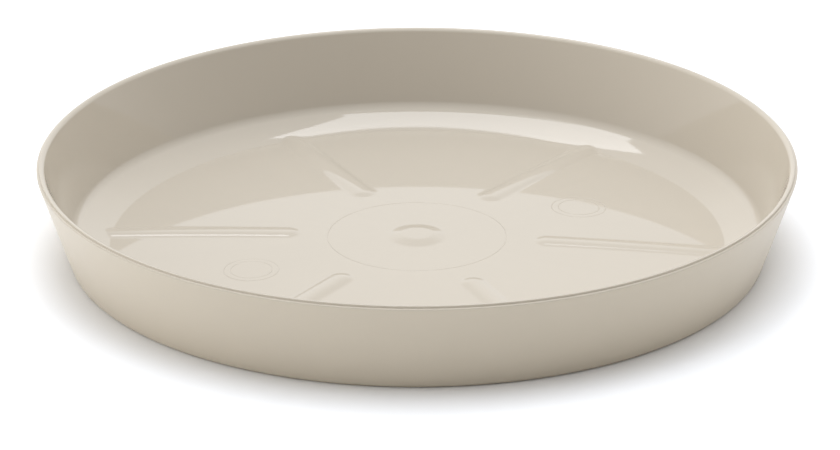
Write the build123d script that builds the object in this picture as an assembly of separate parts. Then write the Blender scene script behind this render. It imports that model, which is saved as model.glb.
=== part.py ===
from build123d import *
import math
import os

# Plant saucer: one injection-moulded tray with a flared wall that stands on a narrow foot
# ring, a crowned floor with a sloped ring around it, and six beads that hold a pot up.
# Frame: millimetres, +Z up, origin on the ground under the centre, first bead along +X.

# Outer form
rim_diameter = 300.4  # where the outer wall's line meets the parting ledge, before its edge is rounded
saucer_height = 38.4
wall_flare = 12.95  # how far the rim stands out past the line where the wall would meet the ground
wall_width = 3.3  # wall thickness, measured level
heel_radius = 2.3  # outer corner between wall and foot
cove_radius = 5.0  # inner corner between wall and sloped ring

# Rim: a short upright lip set back from the wall at the mould's parting line
lip_height = 0.9
lip_step = 1.2
lip_inner_radius = 1.9
lip_outer_radius = 0.35
ledge_edge_radius = 0.5

# Floor
floor_thickness = 2.2
floor_lift = 0.2  # how far the floor's edge stays off the ground
crown_height = 3.1  # how far the floor's middle stands above its edge
ramp_width = 11.9  # sloped ring, measured level from the floor's edge to the inner wall's line
ramp_rise = 3.9  # how far the sloped ring climbs over that width
foot_ring_width = 4.25  # flat ring that touches the ground, heel corner included

# Gate button in the middle, hollow below so that the gate mark stays off the ground
button_base_radius = 11.6
button_top_radius = 6.0
button_height = 1.0
button_edge_radius = 4.0

# Beads
bead_count = 6
bead_width = 9.8
bead_height = 0.83
bead_tip_radius = 47.0  # from the centre to the inner end
bead_run_out = 3.0  # how far a bead's crest line runs on inside the sloped ring
bead_hollow_gap = 2.0  # between the outer end of a bead's hollow and the sloped ring

# Fine rings that the mould's round inserts leave in the floor
witness_radius = 35.5
insert_outer_radius = 10.8
insert_inner_radius = 8.2
insert_place_radius = 72.6
insert_angles = (31.5, 211.5)
ring_width = 0.4
ring_depth = 0.15

overrun = 1.0  # how far cutting shapes run past the face they cut

# Sizes that follow
rim_radius = rim_diameter / 2
base_radius = rim_radius - wall_flare
ledge_z = saucer_height - lip_height
wall_slope = wall_flare / ledge_z  # outward run per unit of height
foot_inner_radius = base_radius - foot_ring_width
ramp_radius = base_radius - wall_width - ramp_width
ramp_slope = ramp_rise / ramp_width
crown_radius = (ramp_radius**2 + crown_height**2) / (2 * crown_height)
button_z = floor_lift + crown_height + button_height
bead_radius = (bead_width**2 / 4 + bead_height**2) / (2 * bead_height)
bead_axis_depth = bead_radius - bead_height


def outer_wall_radius(z):
    """Radius of the outer wall's straight line at height z."""
    return base_radius + wall_slope * z


def crown_z(radius):
    """Height of the crowned underside at a distance from the centre."""
    return floor_lift + crown_height - (crown_radius - math.sqrt(crown_radius**2 - radius**2))


def floor_z(radius):
    """Height of the floor's upper face at a distance from the centre."""
    return crown_z(radius) + floor_thickness


def ramp_z(radius):
    """Height of the sloped ring's upper face at a distance from the centre."""
    return floor_z(ramp_radius) + ramp_slope * (radius - ramp_radius)


def cove_corner():
    """Where the inner wall's line would meet the sloped ring's upper face."""
    height = (floor_z(ramp_radius) + ramp_rise) / (1 - ramp_slope * wall_slope)
    return (outer_wall_radius(height) - wall_width, height)


def ramp_underside():
    """The sloped ring's lower face, from the floor's edge out to the foot ring."""
    thickness = floor_thickness * math.hypot(1, ramp_slope)
    return [
        (ramp_radius, crown_z(ramp_radius)),
        (foot_inner_radius, ramp_z(foot_inner_radius) - thickness),
    ]


def crown_arc(outer, lift):
    """The crown's arc from an outer radius in to the button, raised by lift."""
    middle = (outer + button_base_radius) / 2
    return ThreePointArc(
        (outer, crown_z(outer) + lift),
        (middle, crown_z(middle) + lift),
        (button_base_radius, crown_z(button_base_radius) + lift),
    )


def button_outline(lift):
    """The button's sloping side and flat top, raised by lift, from the crown inwards."""
    return Polyline(
        (button_base_radius, crown_z(button_base_radius) + lift),
        (button_top_radius, button_z + lift),
        (0, button_z + lift),
    )


def button_corners(lift):
    """The button's two corners with the radius that each is rounded to."""
    return [
        ((button_base_radius, crown_z(button_base_radius) + lift), button_edge_radius),
        ((button_top_radius, button_z + lift), button_edge_radius),
    ]


def rounded_section(edges, corners):
    """A closed face from its edges, with the listed corners rounded."""
    face = make_face(edges).face()
    for corner, radius in corners:
        vertex = face.vertices().sort_by_distance(Vector(*corner))[0]
        face = face.fillet_2d(radius, [vertex])
    return Plane.XZ * face


def tray():
    """The round tray with its wall, rim, foot ring, sloped ring, crowned floor and button."""
    lip_radius = rim_radius - lip_step
    inner_top = (outer_wall_radius(saucer_height) - wall_width, saucer_height)
    wall = Polyline(
        *ramp_underside(),
        (foot_inner_radius, 0),
        (base_radius, 0),
        (rim_radius, ledge_z),
        (lip_radius, ledge_z),
        (lip_radius, saucer_height),
        inner_top,
        cove_corner(),
        (ramp_radius, floor_z(ramp_radius)),
    )
    middle = Line((0, button_z), (0, button_z + floor_thickness))
    underside = [crown_arc(ramp_radius, 0), button_outline(0)]
    upper_side = [crown_arc(ramp_radius, floor_thickness), button_outline(floor_thickness)]
    corners = [
        ((base_radius, 0), heel_radius),
        (cove_corner(), cove_radius),
        ((rim_radius, ledge_z), ledge_edge_radius),
        ((lip_radius, saucer_height), lip_outer_radius),
        (inner_top, lip_inner_radius),
    ]
    corners += button_corners(0) + button_corners(floor_thickness)
    return revolve(rounded_section([wall, middle] + underside + upper_side, corners), Axis.Z)


def space_below():
    """Everything under the floor, out to halfway under the sloped ring."""
    depth = bead_radius * 2
    floor_edge, ring_edge = ramp_underside()
    halfway = ((floor_edge[0] + ring_edge[0]) / 2, (floor_edge[1] + ring_edge[1]) / 2)
    bottom = Polyline((0, button_z), (0, -depth), (halfway[0], -depth), halfway, floor_edge)
    edges = [bottom, crown_arc(ramp_radius, 0), button_outline(0)]
    return revolve(rounded_section(edges, button_corners(0)), Axis.Z)


def bead_bar(inset, end_radius):
    """A round bar bent along the crown from a bead's tip out to a radius, inset all round."""
    radius = bead_radius - inset
    path_radius = crown_radius + floor_thickness - bead_axis_depth
    start = bead_tip_radius + bead_width / 2
    start_angle = math.degrees(math.asin(start / path_radius))
    end_angle = math.degrees(math.asin(end_radius / path_radius))
    section = Plane.YZ * Pos(0, path_radius, 0) * Circle(radius)
    bar = revolve(section, Axis.Y, revolution_arc=end_angle - start_angle)
    bar += Pos(0, 0, path_radius) * Sphere(radius)
    return Pos(0, 0, floor_lift + crown_height - crown_radius) * Rot(0, start_angle, 0) * bar


def bead():
    """A bead with its lower part cut away inside the floor's thickness."""
    return split(bead_bar(0, ramp_radius + bead_run_out), Plane.XY.offset(floor_thickness / 2), keep=Keep.TOP)


def around(shape, angles):
    """Copies of a shape turned about the centre line."""
    return [Rot(0, 0, angle) * shape for angle in angles]


def ring_cut(radius):
    """A thin ring that cuts a fine groove into a floor face at height zero."""
    height = ring_depth + overrun
    outer = Cylinder(radius + ring_width / 2, height)
    inner = Cylinder(radius - ring_width / 2, height)
    return Pos(0, 0, height / 2 - ring_depth) * (outer - inner)


def insert_rings():
    """The two rings of a round mould insert, set square to the sloping floor."""
    lean = math.degrees(math.asin(insert_place_radius / crown_radius))
    rings = ring_cut(insert_outer_radius) + ring_cut(insert_inner_radius)
    place = Pos(insert_place_radius, 0, floor_z(insert_place_radius)) * Rot(0, lean, 0)
    return place * rings


def saucer():
    """The whole moulding."""
    bead_angles = [index * 360 / bead_count for index in range(bead_count)]
    body = tray()
    body += around(bead(), bead_angles)
    body -= around(bead_bar(floor_thickness, ramp_radius - bead_hollow_gap), bead_angles)
    body -= space_below()
    body -= Pos(0, 0, floor_z(witness_radius)) * ring_cut(witness_radius)
    body -= around(insert_rings(), insert_angles)
    return body


os.makedirs("parts", exist_ok=True)
moulding = saucer()
export_step(moulding, "parts/saucer.step")
print("saucer solids", len(moulding.solids()), "volume", round(moulding.volume), "valid", moulding.is_valid)
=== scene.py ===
import math

import bpy
import numpy as np
from mathutils import Matrix, Quaternion, Vector

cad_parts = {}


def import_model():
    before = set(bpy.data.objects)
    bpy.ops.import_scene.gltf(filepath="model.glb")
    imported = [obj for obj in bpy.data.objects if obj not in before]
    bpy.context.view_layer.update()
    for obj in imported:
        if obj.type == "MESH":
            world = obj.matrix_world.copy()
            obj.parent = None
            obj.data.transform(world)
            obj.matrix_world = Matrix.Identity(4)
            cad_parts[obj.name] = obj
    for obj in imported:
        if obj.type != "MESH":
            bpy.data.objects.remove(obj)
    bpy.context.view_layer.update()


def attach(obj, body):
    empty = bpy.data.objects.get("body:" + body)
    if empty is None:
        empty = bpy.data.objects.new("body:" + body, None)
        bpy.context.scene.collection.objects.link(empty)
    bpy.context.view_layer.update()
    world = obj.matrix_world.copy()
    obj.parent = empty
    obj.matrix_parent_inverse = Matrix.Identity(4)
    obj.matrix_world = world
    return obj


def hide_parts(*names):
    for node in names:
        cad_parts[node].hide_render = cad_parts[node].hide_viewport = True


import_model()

MM = 0.001

# Sizes of the moulding in millimetres, as in the part's source
RIM_RADIUS = 150.2
HEIGHT = 38.4
WALL_FLARE = 12.95
WALL_WIDTH = 3.3
HEEL_RADIUS = 2.3
COVE_RADIUS = 5.0
LIP_HEIGHT = 0.9
LIP_STEP = 1.2
LIP_INNER_RADIUS = 1.9
LIP_OUTER_RADIUS = 0.35
LEDGE_EDGE_RADIUS = 0.5
FLOOR_THICKNESS = 2.2
FLOOR_LIFT = 0.2
CROWN_HEIGHT = 3.1
RAMP_WIDTH = 11.9
RAMP_RISE = 3.9
FOOT_RING_WIDTH = 4.25
BUTTON_BASE_RADIUS = 11.6
BUTTON_TOP_RADIUS = 6.0
BUTTON_HEIGHT = 1.0
BEAD_COUNT = 6
BEAD_WIDTH = 9.8
BEAD_HEIGHT = 0.83
BEAD_TIP_RADIUS = 47.0
BEAD_HOLLOW_GAP = 2.0
WITNESS_RADIUS = 35.5
INSERT_RADII = (8.2, 10.8)
INSERT_PLACE_RADIUS = 72.6
INSERT_ANGLES = (31.5, 211.5)

# Finer forms that only the visible skin has, in millimetres
LEDGE_ROOT_RADIUS = 0.12
FOOT_EDGE_RADIUS = 0.2
FOOT_ROOT_RADIUS = 0.6
RAMP_START = 0.29  # slope of the sloped ring at the floor's edge
RAMP_BEND = 0.0062  # what the ring gains over that slope, per square millimetre of run
RAMP_ROOT_BLEND = 0.16
BEAD_ROOT_BLEND = 0.36
BUTTON_CORNER_SHARE = 0.2
HOLLOW_END_RUN = 0.4
DISC_EDGE = 1.0
RING_WIDTH = 0.55
RING_DEPTH = 0.09

# Sizes that follow
BASE_RADIUS = RIM_RADIUS - WALL_FLARE
LEDGE_Z = HEIGHT - LIP_HEIGHT
LIP_RADIUS = RIM_RADIUS - LIP_STEP
WALL_SLOPE = WALL_FLARE / LEDGE_Z
FOOT_INNER_RADIUS = BASE_RADIUS - FOOT_RING_WIDTH
RAMP_RADIUS = BASE_RADIUS - WALL_WIDTH - RAMP_WIDTH
RAMP_SLOPE = RAMP_RISE / RAMP_WIDTH
CROWN_RADIUS = (RAMP_RADIUS**2 + CROWN_HEIGHT**2) / (2 * CROWN_HEIGHT)
BEAD_RADIUS = (BEAD_WIDTH**2 / 4 + BEAD_HEIGHT**2) / (2 * BEAD_HEIGHT)
BEAD_AXIS_DEPTH = BEAD_RADIUS - BEAD_HEIGHT
BEAD_START = BEAD_TIP_RADIUS + BEAD_WIDTH / 2
BEAD_ANGLES = [index * 360 / BEAD_COUNT for index in range(BEAD_COUNT)]
HOLLOW_END = RAMP_RADIUS - BEAD_HOLLOW_GAP
NO_BEAD = -9.0  # a height far below every face, where a bead's bar doesn't reach

# Radii between which the skin's mesh keeps one spacing
FIRST_RING = 0.7
BUTTON_ZONE = BUTTON_BASE_RADIUS + 1.7
TIP_ZONE = (BEAD_TIP_RADIUS - 1.5, BEAD_TIP_RADIUS + 7)
INSERT_ZONE = (INSERT_PLACE_RADIUS - 12.1, INSERT_PLACE_RADIUS + 12.4)
RAMP_ROOT_ZONE = (RAMP_RADIUS - 1, RAMP_RADIUS + 4)
FIELD_EDGE = 132.4  # where the upper face hands over to the turned section
UNDER_EDGE = 126.0  # the same on the underside

# Rings of the mesh from the middle out, as (radius, spacing up to it)
TOP_RINGS = (
    (BUTTON_ZONE, 0.7),
    (TIP_ZONE[0], 2.5),
    (TIP_ZONE[1], 0.45),
    (INSERT_ZONE[0], 1.6),
    (INSERT_ZONE[1], 1.0),
    (RAMP_ROOT_ZONE[0], 2.6),
    (RAMP_ROOT_ZONE[1], 0.33),
    (FIELD_EDGE, 0.8),
)
UNDER_RINGS = (
    (BUTTON_ZONE, 1.2),
    (TIP_ZONE[0], 4.0),
    (TIP_ZONE[1], 0.9),
    (HOLLOW_END - HOLLOW_END_RUN, 4.5),
    (HOLLOW_END, HOLLOW_END_RUN),
    (RAMP_RADIUS, 0.8),
    (UNDER_EDGE, 1.5),
)
SECTION_STEP = 3.5
SECTION_TURN = math.radians(10)

# Mesh columns beside a bead, as shares of half its width, so that edges follow its sides
BEAD_COLUMN_SHARES = (0.1, 0.24, 0.38, 0.52, 0.66, 0.8, 0.92, 0.98, 1.02, 1.09, 1.3)
# Angle between the other columns, and between those in a sector that holds an insert
COLUMN_STEP = 2.0
FINE_COLUMN_STEP = 1.0


def soft_ramp(t, corner):
    """0 below t = 0, t from 0 to 1 and 1 above, with both corners rounded over a length of corner."""
    low = np.clip(t + corner, 0, 2 * corner) ** 2 / (4 * corner)
    low += np.clip(t - corner, 0, None)
    high = np.clip(t - 1 + corner, 0, 2 * corner) ** 2 / (4 * corner)
    high += np.clip(t - 1 - corner, 0, None)
    return low - high


def soft_max(a, b, blend):
    """The higher of two heights, with the crease between them filled."""
    share = np.clip(0.5 + 0.5 * (a - b) / blend, 0, 1)
    return b * (1 - share) + a * share + blend * share * (1 - share)


def crown(radius):
    """Height of the crowned underside above the ground."""
    return FLOOR_LIFT + CROWN_HEIGHT - (CROWN_RADIUS - np.sqrt(CROWN_RADIUS**2 - radius**2))


def ramp(radius):
    """Height of the sloped ring's upper face, which steepens a little towards the wall."""
    run = radius - RAMP_RADIUS
    return FLOOR_LIFT + FLOOR_THICKNESS + RAMP_START * run + RAMP_BEND * np.maximum(run, 0) ** 2


def under_ramp(radius):
    """Height of the sloped ring's underside, on the line that it follows."""
    width = FOOT_INNER_RADIUS - RAMP_RADIUS
    recess = RAMP_SLOPE * width - FLOOR_THICKNESS * (math.hypot(1, RAMP_SLOPE) - 1)
    return FLOOR_LIFT + recess / width * (radius - RAMP_RADIUS)


def button(radius):
    """Height that the middle button adds."""
    run = (BUTTON_BASE_RADIUS - radius) / (BUTTON_BASE_RADIUS - BUTTON_TOP_RADIUS)
    return BUTTON_HEIGHT * soft_ramp(run, BUTTON_CORNER_SHARE)


def bead_surface(x, y, floor, inset):
    """Height of the nearest bead's round bar, made smaller all round by inset."""
    turn = np.arctan2(y, x)
    step = 2 * math.pi / BEAD_COUNT
    turn -= np.round(turn / step) * step
    radius = np.hypot(x, y)
    along = radius * np.cos(turn)
    across = radius * np.sin(turn)
    before = np.clip(BEAD_START - along, 0, None)
    inside = (BEAD_RADIUS - inset) ** 2 - across**2 - before**2
    lift = np.sqrt(np.clip(inside, 0, None)) - BEAD_AXIS_DEPTH
    return floor + np.where(inside > 0, lift, NO_BEAD)


def disc_shares(x, y):
    """For each round mould insert: its angle, the way along its radius, and 1 inside its face."""
    for angle in INSERT_ANGLES:
        a = math.radians(angle)
        along = x * math.cos(a) + y * math.sin(a) - INSERT_PLACE_RADIUS
        across = y * math.cos(a) - x * math.sin(a)
        share = np.clip((INSERT_RADII[1] - np.hypot(along, across)) / DISC_EDGE + 0.5, 0, 1)
        yield a, along, share * share * (3 - 2 * share)


def open_floor(x, y):
    """Height of the upper face with beads, button and sloped ring, but without the flat insert faces."""
    radius = np.hypot(x, y)
    plain = crown(radius) + FLOOR_THICKNESS
    raised = bead_surface(x, y, plain, 0.0)
    bare = soft_max(plain + button(radius), ramp(radius), RAMP_ROOT_BLEND)
    return soft_max(raised, bare, BEAD_ROOT_BLEND)


def floor_top(x, y):
    """Height of the upper face with the flat face of each round mould insert."""
    height = open_floor(x, y)
    middle = crown(np.float64(INSERT_PLACE_RADIUS)) + FLOOR_THICKNESS
    for _, along, share in disc_shares(x, y):
        flat = middle - along * INSERT_PLACE_RADIUS / CROWN_RADIUS
        height = height * (1 - share) + flat * share
    return height


def floor_bottom(x, y):
    """Height of the underside, with the hollows under the beads and the button."""
    radius = np.hypot(x, y)
    crowned = np.maximum(crown(radius), under_ramp(radius))
    hollow = bead_surface(x, y, crowned + FLOOR_THICKNESS, FLOOR_THICKNESS) - crowned
    hollow = np.clip(hollow, 0, None) * np.clip((HOLLOW_END - radius) / HOLLOW_END_RUN, 0, 1)
    return crowned + np.maximum(hollow, button(radius))


def slopes(height, x, y):
    """Unit normals of a height field, found from small steps to each side."""
    step = 0.02
    dx = (height(x + step, y) - height(x - step, y)) / (2 * step)
    dy = (height(x, y + step) - height(x, y - step)) / (2 * step)
    normal = np.stack([-dx, -dy, np.ones_like(dx)], -1)
    return normal / np.linalg.norm(normal, axis=-1, keepdims=True)


def top_normals(x, y):
    """Normals of the upper face; an insert's face has one normal all over."""
    normal = slopes(open_floor, x, y)
    lean = math.asin(INSERT_PLACE_RADIUS / CROWN_RADIUS)
    for a, _, share in disc_shares(x, y):
        flat = np.array([math.sin(lean) * math.cos(a), math.sin(lean) * math.sin(a), math.cos(lean)])
        normal = normal * (1 - share[..., None]) + flat * share[..., None]
    return normal


def bottom_normals(x, y):
    """Normals of the underside, which point down."""
    return -slopes(floor_bottom, x, y)


def spans(first, stops):
    """Numbers from the first one on, each stop being (end, step up to it)."""
    made = [first]
    for end, step in stops:
        count = max(1, round((end - made[-1]) / step))
        made.extend(np.linspace(made[-1], end, count + 1)[1:].tolist())
    return made


def column_angles(radius):
    """Angles of the mesh's columns at a radius: beside the beads they keep their distance."""
    half = BEAD_WIDTH / 2
    sector = 360 / BEAD_COUNT
    shares = sorted([-s for s in BEAD_COLUMN_SHARES] + [0.0] + list(BEAD_COLUMN_SHARES))
    beside = [math.asin(s * half / max(radius, BEAD_TIP_RADIUS)) for s in shares]
    clear = math.radians(sector) - 2 * beside[-1]
    made = []
    for bead in BEAD_ANGLES:
        middle = math.radians(bead)
        has_insert = any(bead < angle < bead + sector for angle in INSERT_ANGLES)
        count = round(sector / (FINE_COLUMN_STEP if has_insert else COLUMN_STEP))
        made += [middle + angle for angle in beside]
        made += [middle + beside[-1] + clear * i / count for i in range(1, count)]
    return np.array(made)


def rounded_path(corners, step, turn_step):
    """Points (r, z) and left-hand normals along straight runs whose corners are rounded."""
    places = [Vector(c[:2]) for c in corners]
    points, normals = [], []
    start = places[0]
    for index in range(1, len(places)):
        here = places[index]
        direction = (here - places[index - 1]).normalized()
        left = Vector((-direction.y, direction.x))
        last = index == len(places) - 1
        end, arc = here, None
        if not last:
            after = (places[index + 1] - here).normalized()
            turn = -direction.angle_signed(after)
            radius = corners[index][2]
            trim = radius * math.tan(abs(turn) / 2)
            end = here - direction * trim
            arc = (turn, radius, here + after * trim)
        count = max(1, round((end - start).length / step))
        for i in range(count + 1 if last else count):
            points.append(start.lerp(end, i / count))
            normals.append(left.copy())
        if arc:
            turn, radius, start = arc
            side = 1 if turn > 0 else -1
            centre = end + left * radius * side
            steps = max(2, round(abs(turn) / turn_step))
            for i in range(steps):
                normal = Matrix.Rotation(turn * i / steps, 2) @ left
                points.append(centre - normal * radius * side)
                normals.append(normal)
    return points, normals


def wall_corners():
    """The section from the sloped ring up over the rim, down to the foot and in below the ring."""
    steepest = RAMP_START + 2 * RAMP_BEND * (FIELD_EDGE - RAMP_RADIUS)
    inner_foot = BASE_RADIUS - WALL_WIDTH
    cove_z = (ramp(FIELD_EDGE) + steepest * (inner_foot - FIELD_EDGE)) / (1 - steepest * WALL_SLOPE)
    return [
        (FIELD_EDGE, ramp(FIELD_EDGE), 0),
        (inner_foot + WALL_SLOPE * cove_z, cove_z, COVE_RADIUS),
        (inner_foot + WALL_SLOPE * HEIGHT, HEIGHT, LIP_INNER_RADIUS),
        (LIP_RADIUS, HEIGHT, LIP_OUTER_RADIUS),
        (LIP_RADIUS, LEDGE_Z, LEDGE_ROOT_RADIUS),
        (RIM_RADIUS, LEDGE_Z, LEDGE_EDGE_RADIUS),
        (BASE_RADIUS, 0.0, HEEL_RADIUS),
        (FOOT_INNER_RADIUS, 0.0, FOOT_EDGE_RADIUS),
        (FOOT_INNER_RADIUS, under_ramp(FOOT_INNER_RADIUS), FOOT_ROOT_RADIUS),
        (UNDER_EDGE, under_ramp(UNDER_EDGE), 0),
    ]


def field_rings(radii, height, normals):
    """Rings of points on a height field, with their normals."""
    angles = np.stack([column_angles(radius) for radius in radii])
    r = np.array(radii)[:, None]
    x = r * np.cos(angles)
    y = r * np.sin(angles)
    return np.stack([x, y, height(x, y)], -1), normals(x, y)


def turned_rings(pairs):
    """Rings turned from the (r, z) pairs of a section."""
    angles = column_angles(FIELD_EDGE)
    r = np.array([p[0] for p in pairs])[:, None]
    z = np.array([p[1] for p in pairs])[:, None]
    return np.stack(np.broadcast_arrays(r * np.cos(angles), r * np.sin(angles), z), -1)


def ring_faces(rings, columns):
    """Faces between the rings, then a fan at each end, round the two vertices after the rings."""
    ring = np.arange(rings - 1)[:, None] * columns
    column = np.arange(columns)[None, :]
    beside = (column + 1) % columns
    quads = np.stack([ring + column, ring + columns + column, ring + columns + beside, ring + beside], -1)
    first = column[0]
    after = beside[0]
    last_ring = (rings - 1) * columns
    middle = np.full(columns, rings * columns)
    top_fan = np.stack([middle, first, after], -1)
    under_fan = np.stack([middle + 1, last_ring + after, last_ring + first], -1)
    return quads.reshape(-1, 4).tolist() + top_fan.tolist() + under_fan.tolist()


def moulding():
    """The whole tray as one closed skin, with its outside on the second material slot."""
    top_radii = spans(FIRST_RING, TOP_RINGS)[:-1]
    under_radii = spans(FIRST_RING, UNDER_RINGS)[:-1]
    section, section_normals = rounded_path(wall_corners(), SECTION_STEP, SECTION_TURN)
    tops = field_rings(top_radii, floor_top, top_normals)
    unders = field_rings(under_radii[::-1], floor_bottom, bottom_normals)
    places = np.concatenate([tops[0], turned_rings(section), unders[0]])
    normals = np.concatenate([tops[1], turned_rings(section_normals), unders[1]])
    rings, columns = places.shape[:2]

    zero = np.zeros(1)
    ends = [[0, 0, floor_top(zero, zero)[0]], [0, 0, floor_bottom(zero, zero)[0]]]
    vertices = np.concatenate([places.reshape(-1, 3), ends]) * MM
    vertex_normals = np.concatenate([normals.reshape(-1, 3), [[0, 0, 1], [0, 0, -1]]])
    vertex_normals /= np.linalg.norm(vertex_normals, axis=1, keepdims=True)

    satin_start = LIP_RADIUS - 0.3 * LIP_OUTER_RADIUS
    outside = len(top_radii) + next(i for i, place in enumerate(section) if place[0] > satin_start)
    quad_slots = np.repeat(np.arange(rings - 1) >= outside, columns)
    slots = np.concatenate([quad_slots, np.zeros(columns), np.ones(columns)]).astype(np.int32)

    mesh = bpy.data.meshes.new("saucer_skin")
    mesh.from_pydata(vertices.tolist(), [], ring_faces(rings, columns))
    mesh.polygons.foreach_set("material_index", slots)
    mesh.polygons.foreach_set("use_smooth", np.ones(len(slots), bool))
    mesh.normals_split_custom_set_from_vertices(vertex_normals.tolist())
    mesh.update()
    made = bpy.data.objects.new("saucer_skin", mesh)
    bpy.context.scene.collection.objects.link(made)
    return made


class Nodes:
    """The node tree of a material or world with short ways to add and join nodes."""

    def __init__(self, owner, output):
        owner.use_nodes = True
        self.tree = owner.node_tree
        self.tree.nodes.clear()
        self.out = self.tree.nodes.new(output)

    def add(self, kind, inputs=None, **settings):
        """A new node with its settings, and a value or a link for each named input."""
        node = self.tree.nodes.new(kind)
        for key, value in settings.items():
            setattr(node, key, value)
        for key, value in (inputs or {}).items():
            self.feed(node.inputs[key], value)
        return node

    def feed(self, socket, value):
        """Links an output to a socket, or sets the socket's own value."""
        if isinstance(value, bpy.types.NodeSocket):
            self.tree.links.new(value, socket)
        else:
            socket.default_value = value

    def math(self, operation, *values):
        """The result of a Math node."""
        node = self.add("ShaderNodeMath", operation=operation)
        for socket, value in zip(node.inputs, values):
            self.feed(socket, value)
        return node.outputs[0]

    def dot(self, vector, way):
        """The dot product of two vectors."""
        return self.add("ShaderNodeVectorMath", {0: vector, 1: way}, operation="DOT_PRODUCT").outputs["Value"]

    def blend(self, value, low, high):
        """0 below low, 1 above high, and a soft step between."""
        limits = {"Value": value, "From Min": low, "From Max": high}
        return self.add("ShaderNodeMapRange", limits, interpolation_type="SMOOTHSTEP").outputs[0]

    def mix(self, share, low, high):
        """A colour that goes from low to high as share goes from 0 to 1."""
        node = self.add("ShaderNodeMix", data_type="RGBA")
        for name, value in (("Factor", share), ("A", (*low, 1)), ("B", (*high, 1))):
            self.feed(node.inputs[name], value)
        return node.outputs["Result"]

    def background_seen(self):
        """1 for the rays that show the background: the camera's, and those in gloss and glass."""
        path = self.add("ShaderNodeLightPath")
        seen = self.math("MAXIMUM", path.outputs["Is Camera Ray"], path.outputs["Is Glossy Ray"])
        return self.math("MAXIMUM", seen, path.outputs["Is Transmission Ray"])

    def noise(self, vector, scale, detail, roughness=0.5):
        """Noise with features of about 1 / scale metres."""
        settings = {"Vector": vector, "Scale": scale, "Detail": detail, "Roughness": roughness}
        return self.add("ShaderNodeTexNoise", settings).outputs["Fac"]

    def ring(self, place, centre, radius, width):
        """1 on a circle's line and 0 half a width away from it."""
        flat = self.add("ShaderNodeVectorMath", {0: place, 1: (1, 1, 0)}, operation="MULTIPLY").outputs[0]
        gap = self.add("ShaderNodeVectorMath", {0: flat, 1: centre}, operation="DISTANCE").outputs["Value"]
        off = self.math("ABSOLUTE", self.math("SUBTRACT", gap, radius))
        limits = {"Value": off, "From Min": 0.0, "From Max": width / 2, "To Min": 1.0, "To Max": 0.0}
        return self.add("ShaderNodeMapRange", limits, interpolation_type="SMOOTHSTEP").outputs[0]


# The moulded plastic: its colour, and how far flow streaks and clouds lighten and darken it
PLASTIC = (0.56, 0.5, 0.41)
SHADE_SPREAD = 0.025


def mould_rings(n, place):
    """The fine rings of the mould: one round the middle and two round each insert."""
    yield n.ring(place, (0, 0, 0), WITNESS_RADIUS * MM, RING_WIDTH * MM)
    for angle in INSERT_ANGLES:
        a = math.radians(angle)
        centre = (INSERT_PLACE_RADIUS * MM * math.cos(a), INSERT_PLACE_RADIUS * MM * math.sin(a), 0)
        for radius in INSERT_RADII:
            yield n.ring(place, centre, radius * MM, RING_WIDTH * MM)


def plastic(name, roughness, spread, grain, wave, rings=False):
    """Moulded plastic: faint radial flow streaks, uneven gloss, fine grain and slight waviness."""
    made = bpy.data.materials.new(name)
    n = Nodes(made, "ShaderNodeOutputMaterial")
    place = n.add("ShaderNodeTexCoord").outputs["Object"]
    around = n.add("ShaderNodeVectorMath", {0: place}, operation="NORMALIZE").outputs[0]
    streaks = n.noise(around, scale=9.0, detail=4.0, roughness=0.6)
    clouds = n.noise(place, scale=14.0, detail=3.0)
    shade = n.math("ADD", n.math("MULTIPLY", streaks, 0.5), n.math("MULTIPLY", clouds, 0.5))
    dark = [c * (1 - SHADE_SPREAD) for c in PLASTIC]
    light = [c * (1 + SHADE_SPREAD) for c in PLASTIC]
    patchy = n.noise(place, scale=40.0, detail=4.0, roughness=0.6)
    limits = {"Value": patchy, "To Min": roughness - spread, "To Max": roughness + spread}
    waves = n.math("MULTIPLY", n.noise(place, scale=28.0, detail=1.0), wave * MM)
    fine = n.math("MULTIPLY", n.noise(place, scale=1400.0, detail=2.0), grain * MM)
    height = n.math("ADD", waves, fine)
    if rings:
        for mark in mould_rings(n, place):
            height = n.math("SUBTRACT", height, n.math("MULTIPLY", mark, RING_DEPTH * MM))
    shader = n.add("ShaderNodeBsdfPrincipled", {
        "Base Color": n.mix(shade, dark, light),
        "Roughness": n.add("ShaderNodeMapRange", limits).outputs[0],
        "Normal": n.add("ShaderNodeBump", {"Height": height, "Distance": 1.0, "Strength": 1.0}).outputs[0],
        "IOR": 1.5,
    })
    n.feed(n.out.inputs["Surface"], shader.outputs[0])
    return made


# The table: the colour that it throws on the object, and the one that is seen
TABLE_BOUNCE = (1.0, 0.98, 0.93)
TABLE_SEEN = (1.0, 1.0, 1.0)
TABLE_REACH = 6.0


def table():
    """A wide pale table, white to the camera and in gloss where no shadow falls, and clear from below."""
    mesh = bpy.data.meshes.new("table")
    signs = [(-1, -1), (1, -1), (1, 1), (-1, 1)]
    mesh.from_pydata([(x * TABLE_REACH, y * TABLE_REACH, 0) for x, y in signs], [], [(0, 1, 2, 3)])
    made = bpy.data.objects.new("table", mesh)
    bpy.context.scene.collection.objects.link(made)
    white = bpy.data.materials.new("table_white")
    n = Nodes(white, "ShaderNodeOutputMaterial")
    colour = n.mix(n.background_seen(), TABLE_BOUNCE, TABLE_SEEN)
    shader = n.add("ShaderNodeBsdfDiffuse", {"Color": colour}).outputs[0]
    clear = n.add("ShaderNodeBsdfTransparent").outputs[0]
    below = n.add("ShaderNodeNewGeometry").outputs["Backfacing"]
    both = n.add("ShaderNodeMixShader", {0: below, 1: shader, 2: clear})
    n.feed(n.out.inputs["Surface"], both.outputs[0])
    mesh.materials.append(white)


# The room's light on the object: even, and more from around, as (azimuth, strength, focus)
ROOM_LIGHT = 0.15
ROOM_LIGHTS = ((95, 0.55, 1.0), (168, 0.6, 1.0), (22, 0.7, 1.0), (195, 3.1, 9.0))
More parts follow.
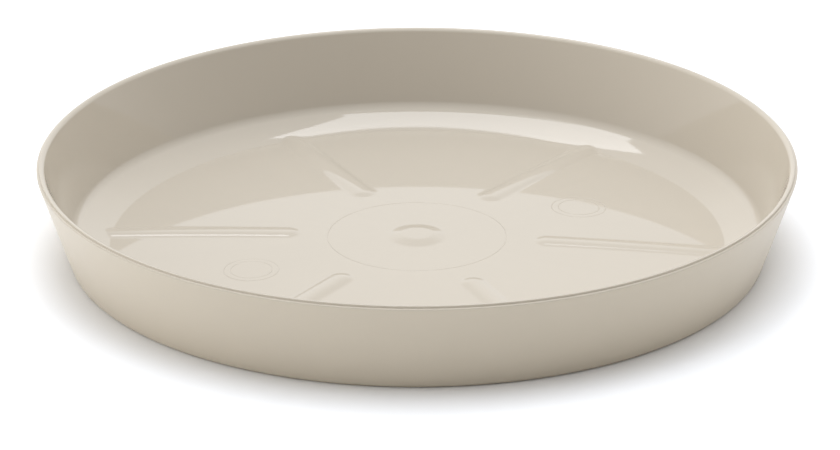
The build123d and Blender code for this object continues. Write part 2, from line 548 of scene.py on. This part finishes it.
# The backdrop that gloss shows: white low at the back, grey above and in front
BACKDROP_MIDDLE = 0.66
BACKDROP_SWING = 0.45
BACKDROP_AZIMUTH = 105
BACKDROP_FADE = (0.42, 0.66)


def level_way(azimuth):
    """A level direction."""
    return (math.cos(math.radians(azimuth)), math.sin(math.radians(azimuth)), 0.0)


def world():
    """A pale room with soft lights around it and a backdrop that fades upwards and to the front."""
    room = bpy.data.worlds.new("room")
    bpy.context.scene.world = room
    n = Nodes(room, "ShaderNodeOutputWorld")
    way = n.add("ShaderNodeTexCoord").outputs["Generated"]
    light = ROOM_LIGHT
    for azimuth, strength, focus in ROOM_LIGHTS:
        facing = n.math("MAXIMUM", n.dot(way, level_way(azimuth)), 0.0)
        light = n.math("ADD", light, n.math("MULTIPLY", n.math("POWER", facing, focus), strength))
    height = n.dot(way, (0, 0, 1))
    low = n.math("SUBTRACT", 1.0, n.blend(height, *BACKDROP_FADE))
    swing = n.math("MULTIPLY", n.dot(way, level_way(BACKDROP_AZIMUTH)), BACKDROP_SWING)
    backdrop = n.math("ADD", n.math("MULTIPLY", swing, low), BACKDROP_MIDDLE)
    strength = n.add("ShaderNodeMix")
    n.feed(strength.inputs["Factor"], n.background_seen())
    n.feed(strength.inputs["A"], light)
    n.feed(strength.inputs["B"], n.math("MINIMUM", backdrop, 1.0))
    lit = n.add("ShaderNodeBackground", {"Color": (1, 1, 1, 1), "Strength": strength.outputs[0]})
    n.feed(n.out.inputs["Surface"], lit.outputs[0])


def softbox(name, azimuth, elevation, distance, size, strength, colour, roll=0.0, in_gloss=True):
    """A rectangular lamp that faces the object, with its strength as what a mirror would show."""
    a, e = math.radians(azimuth), math.radians(elevation)
    direction = Vector((math.cos(a) * math.cos(e), math.sin(a) * math.cos(e), math.sin(e)))
    lamp = bpy.data.lights.new(name, "AREA")
    lamp.shape = "RECTANGLE"
    lamp.size, lamp.size_y = size
    lamp.energy = strength * math.pi * size[0] * size[1]
    lamp.color = colour
    made = bpy.data.objects.new(name, lamp)
    made.location = direction * distance
    made.rotation_mode = "QUATERNION"
    turned = Quaternion((0, 0, 1), math.radians(roll))
    made.rotation_quaternion = direction.to_track_quat("Z", "Y") @ turned
    made.visible_glossy = in_gloss
    bpy.context.scene.collection.objects.link(made)


# The photograph's camera, found from the rim, foot, floor and bead outlines
FOCAL_PIXELS = 5825.455
IMAGE_WIDTH = 840
SENSOR = 36.0
DISTANCE = 2.3135
ELEVATION = 22.5
SWING = 5.0
AIM_RIGHT = 0.0005
AIM_UP = 0.0040
ROLL = -0.0007
CLIP_START = 0.05
CLIP_END = 50.0


def camera():
    """The camera at the photograph's place, aim and focal length."""
    phi = math.radians(ELEVATION)
    place = Vector((0, -DISTANCE * math.cos(phi), DISTANCE * math.sin(phi)))
    ahead = Vector((0, math.cos(phi), -math.sin(phi)))
    right = Vector((1, 0, 0))
    ahead = (ahead + right * AIM_RIGHT + right.cross(ahead) * AIM_UP).normalized()
    right = ahead.cross(Vector((0, 0, 1))).normalized()
    up = right.cross(ahead)
    side = right * math.cos(ROLL) + up * math.sin(ROLL)
    top = up * math.cos(ROLL) - right * math.sin(ROLL)
    turn = Matrix((side, top, -ahead)).transposed().to_4x4()
    data = bpy.data.cameras.new("camera")
    data.sensor_width = SENSOR
    data.lens = FOCAL_PIXELS * SENSOR / IMAGE_WIDTH
    data.clip_start = CLIP_START
    data.clip_end = CLIP_END
    made = bpy.data.objects.new("camera", data)
    made.matrix_world = Matrix.Rotation(math.radians(SWING), 4, "Z") @ Matrix.Translation(place) @ turn
    bpy.context.scene.collection.objects.link(made)
    bpy.context.scene.camera = made


skin = moulding()
skin.data.materials.append(
    plastic("moulded_gloss", roughness=0.035, spread=0.01, grain=0.0003, wave=0.012, rings=True)
)
skin.data.materials.append(plastic("moulded_satin", roughness=0.36, spread=0.04, grain=0.002, wave=0.01))
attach(skin, "root")
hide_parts("saucer")

table()
world()
softbox(
    "back", azimuth=102, elevation=56, distance=2.2, size=(0.8, 0.58), strength=3.3,
    colour=(0.98, 1.0, 1.04), roll=-18,
)
softbox(
    "top", azimuth=5, elevation=90, distance=2.0, size=(1.7, 1.7), strength=3.4,
    colour=(0.955, 1.0, 1.085), in_gloss=False,
)
camera()
bpy.context.scene.view_settings.view_transform = "Standard"
